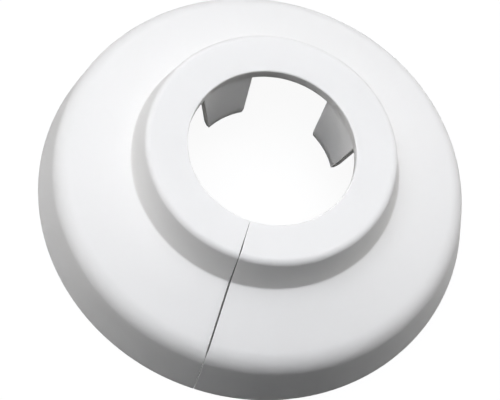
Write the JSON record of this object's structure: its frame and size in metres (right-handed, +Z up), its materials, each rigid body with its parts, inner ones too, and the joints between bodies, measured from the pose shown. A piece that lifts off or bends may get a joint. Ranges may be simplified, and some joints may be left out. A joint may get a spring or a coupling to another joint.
{
  "type": "radiator pipe collar",
  "caption": "Domed split collar that covers the gap round a heating pipe, with a raised boss, a central bore, spring tabs that grip the pipe and a slit from bore to rim.",
  "frame": {"origin": "on the pipe's axis, in the plane of the rim that rests on the floor", "axes": "+Z up along the pipe, out of the boss; -Y through the middle of the slit"},
  "size_m": [0.045, 0.045, 0.013],
  "materials": {
    "collar_plastic": "satin"
  },
  "bodies": {
    "root": {"pipe_collar": "collar_plastic"}
  },
  "joints": []
}
